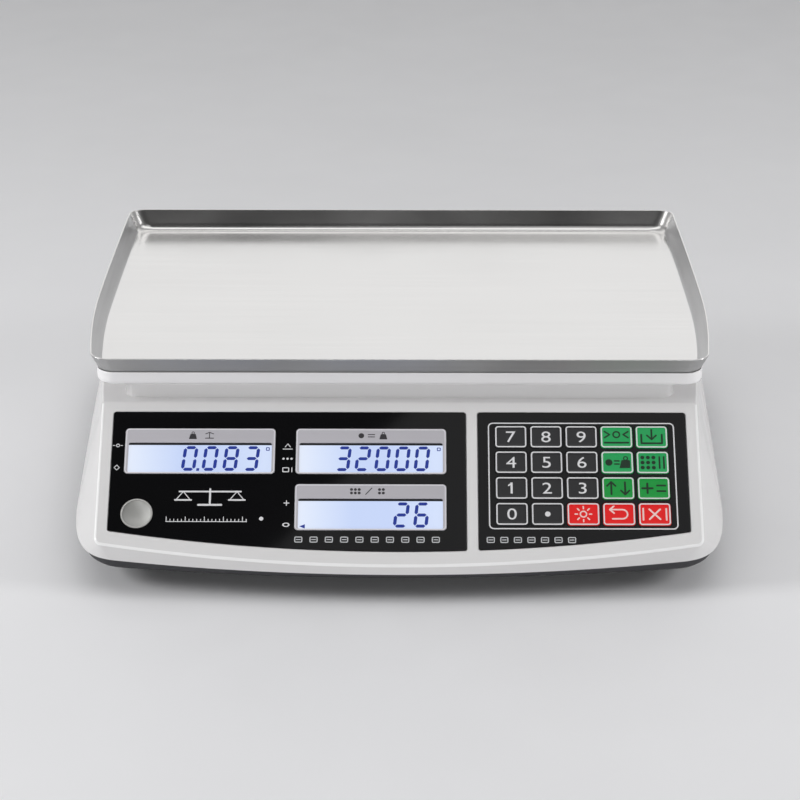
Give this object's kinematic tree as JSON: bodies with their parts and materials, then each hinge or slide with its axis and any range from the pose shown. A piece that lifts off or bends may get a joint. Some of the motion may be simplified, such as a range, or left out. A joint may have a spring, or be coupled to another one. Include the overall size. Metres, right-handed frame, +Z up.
{
  "type": "counting scale",
  "caption": "Bench counting scale: stainless pan on a white housing, sloping panel with three displays, keypad and bubble level, screw feet.",
  "frame": {"origin": "on the surface it stands on, below the centre of its bounding box", "axes": "+X to the operator's right, -Y towards the operator, +Z up"},
  "size_m": [0.3636, 0.3, 0.1067],
  "materials": {
    "stainless": "satin pressed sheet",
    "housing_white": "moulded, semi-gloss",
    "platter_white": "moulded, semi-gloss",
    "overlay_black": "polished polyester label",
    "lcd": "clear window over a backlit display",
    "vial": "clear bubble level",
    "key_dark": "embossed membrane key",
    "key_green": "embossed membrane key",
    "key_red": "embossed membrane key",
    "silicone": "moulded silicone",
    "board_green": "circuit board",
    "steel": "zinc plated",
    "aluminium": "machined or cast",
    "base_plastic": "fine texture",
    "black_plastic": "moulded",
    "rubber": "moulded rubber",
    "battery_case": "moulded case",
    "transformer": "varnished laminations"
  },
  "bodies": {
    "base": {"base_plate": "steel", "battery": "battery_case", "battery_strap": "steel", "display_board": "board_green", "display_overlay": "overlay_black", "key_mat": "silicone", "keypad_overlay": "overlay_black", "level_vial": "vial", "load_cell": "aluminium", "load_cell_mount": "steel", "lower_housing": "base_plastic", "main_board": "board_green", "mains_inlet": "black_plastic", "overload_stop_1": "steel", "overload_stop_2": "steel", "overload_stop_3": "steel", "overload_stop_4": "steel", "switch_frame": "black_plastic", "total_lcd": "lcd", "transformer": "transformer", "unit_weight_lcd": "lcd", "upper_housing": "housing_white", "weight_lcd": "lcd"},
    "platter": {"platter": "platter_white", "spider_bracket": "aluminium", "live_end_spacer": "steel", "pan_pad_1": "rubber", "pan_pad_2": "rubber", "pan_pad_3": "rubber", "pan_pad_4": "rubber"},
    "pan": {"weighing_pan": "stainless"},
    "rocker": {"power_rocker": "black_plastic"},
    "key_7": {"key_7": "key_dark"},
    "key_8": {"key_8": "key_dark"},
    "key_9": {"key_9": "key_dark"},
    "key_zero": {"key_zero": "key_green"},
    "key_tare": {"key_tare": "key_green"},
    "key_4": {"key_4": "key_dark"},
    "key_5": {"key_5": "key_dark"},
    "key_6": {"key_6": "key_dark"},
    "key_piece_weight": {"key_piece_weight": "key_green"},
    "key_sample": {"key_sample": "key_green"},
    "key_1": {"key_1": "key_dark"},
    "key_2": {"key_2": "key_dark"},
    "key_3": {"key_3": "key_dark"},
    "key_preset": {"key_preset": "key_green"},
    "key_add": {"key_add": "key_green"},
    "key_0": {"key_0": "key_dark"},
    "key_point": {"key_point": "key_dark"},
    "key_light": {"key_light": "key_red"},
    "key_recall": {"key_recall": "key_red"},
    "key_clear": {"key_clear": "key_red"},
    "foot_stud_1": {"foot_stud_1": "steel"},
    "foot_pad_1": {"foot_pad_1": "rubber"},
    "foot_stud_2": {"foot_stud_2": "steel"},
    "foot_pad_2": {"foot_pad_2": "rubber"},
    "foot_stud_3": {"foot_stud_3": "steel"},
    "foot_pad_3": {"foot_pad_3": "rubber"},
    "foot_stud_4": {"foot_stud_4": "steel"},
    "foot_pad_4": {"foot_pad_4": "rubber"}
  },
  "joints": [
    {"name": "load_cell_flex", "type": "slide", "parent": "base", "child": "platter", "axis": [0, 0, 1], "range_m": [-0.0004, 0], "stiffness_N_per_m": 100000, "springref_m": 0.0003},
    {"name": "pan_lift", "type": "slide", "parent": "platter", "child": "pan", "axis": [0, 0, 1], "range_m": [0, 0.05]},
    {"name": "press_7", "type": "slide", "parent": "base", "child": "key_7", "axis": [0, 0.6347, -0.7727], "range_m": [0, 0.0005], "stiffness_N_per_m": 1000, "springref_m": -0.0005},
    {"name": "press_8", "type": "slide", "parent": "base", "child": "key_8", "axis": [0, 0.6347, -0.7727], "range_m": [0, 0.0005], "stiffness_N_per_m": 1000, "springref_m": -0.0005},
    {"name": "press_9", "type": "slide", "parent": "base", "child": "key_9", "axis": [0, 0.6347, -0.7727], "range_m": [0, 0.0005], "stiffness_N_per_m": 1000, "springref_m": -0.0005},
    {"name": "press_zero", "type": "slide", "parent": "base", "child": "key_zero", "axis": [0, 0.6347, -0.7727], "range_m": [0, 0.0005], "stiffness_N_per_m": 1000, "springref_m": -0.0005},
    {"name": "press_tare", "type": "slide", "parent": "base", "child": "key_tare", "axis": [0, 0.6347, -0.7727], "range_m": [0, 0.0005], "stiffness_N_per_m": 1000, "springref_m": -0.0005},
    {"name": "press_4", "type": "slide", "parent": "base", "child": "key_4", "axis": [0, 0.6347, -0.7727], "range_m": [0, 0.0005], "stiffness_N_per_m": 1000, "springref_m": -0.0005},
    {"name": "press_5", "type": "slide", "parent": "base", "child": "key_5", "axis": [0, 0.6347, -0.7727], "range_m": [0, 0.0005], "stiffness_N_per_m": 1000, "springref_m": -0.0005},
    {"name": "press_6", "type": "slide", "parent": "base", "child": "key_6", "axis": [0, 0.6347, -0.7727], "range_m": [0, 0.0005], "stiffness_N_per_m": 1000, "springref_m": -0.0005},
    {"name": "press_piece_weight", "type": "slide", "parent": "base", "child": "key_piece_weight", "axis": [0, 0.6347, -0.7727], "range_m": [0, 0.0005], "stiffness_N_per_m": 1000, "springref_m": -0.0005},
    {"name": "press_sample", "type": "slide", "parent": "base", "child": "key_sample", "axis": [0, 0.6347, -0.7727], "range_m": [0, 0.0005], "stiffness_N_per_m": 1000, "springref_m": -0.0005},
    {"name": "press_1", "type": "slide", "parent": "base", "child": "key_1", "axis": [0, 0.6347, -0.7727], "range_m": [0, 0.0005], "stiffness_N_per_m": 1000, "springref_m": -0.0005},
    {"name": "press_2", "type": "slide", "parent": "base", "child": "key_2", "axis": [0, 0.6347, -0.7727], "range_m": [0, 0.0005], "stiffness_N_per_m": 1000, "springref_m": -0.0005},
    {"name": "press_3", "type": "slide", "parent": "base", "child": "key_3", "axis": [0, 0.6347, -0.7727], "range_m": [0, 0.0005], "stiffness_N_per_m": 1000, "springref_m": -0.0005},
    {"name": "press_preset", "type": "slide", "parent": "base", "child": "key_preset", "axis": [0, 0.6347, -0.7727], "range_m": [0, 0.0005], "stiffness_N_per_m": 1000, "springref_m": -0.0005},
    {"name": "press_add", "type": "slide", "parent": "base", "child": "key_add", "axis": [0, 0.6347, -0.7727], "range_m": [0, 0.0005], "stiffness_N_per_m": 1000, "springref_m": -0.0005},
    {"name": "press_0", "type": "slide", "parent": "base", "child": "key_0", "axis": [0, 0.6347, -0.7727], "range_m": [0, 0.0005], "stiffness_N_per_m": 1000, "springref_m": -0.0005},
    {"name": "press_point", "type": "slide", "parent": "base", "child": "key_point", "axis": [0, 0.6347, -0.7727], "range_m": [0, 0.0005], "stiffness_N_per_m": 1000, "springref_m": -0.0005},
    {"name": "press_light", "type": "slide", "parent": "base", "child": "key_light", "axis": [0, 0.6347, -0.7727], "range_m": [0, 0.0005], "stiffness_N_per_m": 1000, "springref_m": -0.0005},
    {"name": "press_recall", "type": "slide", "parent": "base", "child": "key_recall", "axis": [0, 0.6347, -0.7727], "range_m": [0, 0.0005], "stiffness_N_per_m": 1000, "springref_m": -0.0005},
    {"name": "press_clear", "type": "slide", "parent": "base", "child": "key_clear", "axis": [0, 0.6347, -0.7727], "range_m": [0, 0.0005], "stiffness_N_per_m": 1000, "springref_m": -0.0005},
    {"name": "power_rock", "type": "hinge", "parent": "base", "child": "rocker", "pos_m": [-0.052, 0.1446, 0.046], "axis": [-1, 0, 0], "range_deg": [0, 16]},
    {"name": "foot_extend_1", "type": "slide", "parent": "base", "child": "foot_stud_1", "axis": [0, 0, -1], "range_m": [0, 0.006]},
    {"name": "foot_turn_1", "type": "hinge", "parent": "foot_stud_1", "child": "foot_pad_1", "pos_m": [-0.132, -0.098, 0], "axis": [0, 0, -1], "range_deg": [0, 1730]},
    {"name": "foot_extend_2", "type": "slide", "parent": "base", "child": "foot_stud_2", "axis": [0, 0, -1], "range_m": [0, 0.006]},
    {"name": "foot_turn_2", "type": "hinge", "parent": "foot_stud_2", "child": "foot_pad_2", "pos_m": [0.132, -0.098, 0], "axis": [0, 0, -1], "range_deg": [0, 1730]},
    {"name": "foot_extend_3", "type": "slide", "parent": "base", "child": "foot_stud_3", "axis": [0, 0, -1], "range_m": [0, 0.006]},
    {"name": "foot_turn_3", "type": "hinge", "parent": "foot_stud_3", "child": "foot_pad_3", "pos_m": [-0.132, 0.1, 0], "axis": [0, 0, -1], "range_deg": [0, 1730]},
    {"name": "foot_extend_4", "type": "slide", "parent": "base", "child": "foot_stud_4", "axis": [0, 0, -1], "range_m": [0, 0.006]},
    {"name": "foot_turn_4", "type": "hinge", "parent": "foot_stud_4", "child": "foot_pad_4", "pos_m": [0.132, 0.1, 0], "axis": [0, 0, -1], "range_deg": [0, 1730]}
  ],
  "couplings": [
    {"joint": "foot_turn_1", "follows": "foot_extend_1", "rad_per_m": 5026.5},
    {"joint": "foot_turn_2", "follows": "foot_extend_2", "rad_per_m": 5026.5},
    {"joint": "foot_turn_3", "follows": "foot_extend_3", "rad_per_m": 5026.5},
    {"joint": "foot_turn_4", "follows": "foot_extend_4", "rad_per_m": 5026.5}
  ]
}
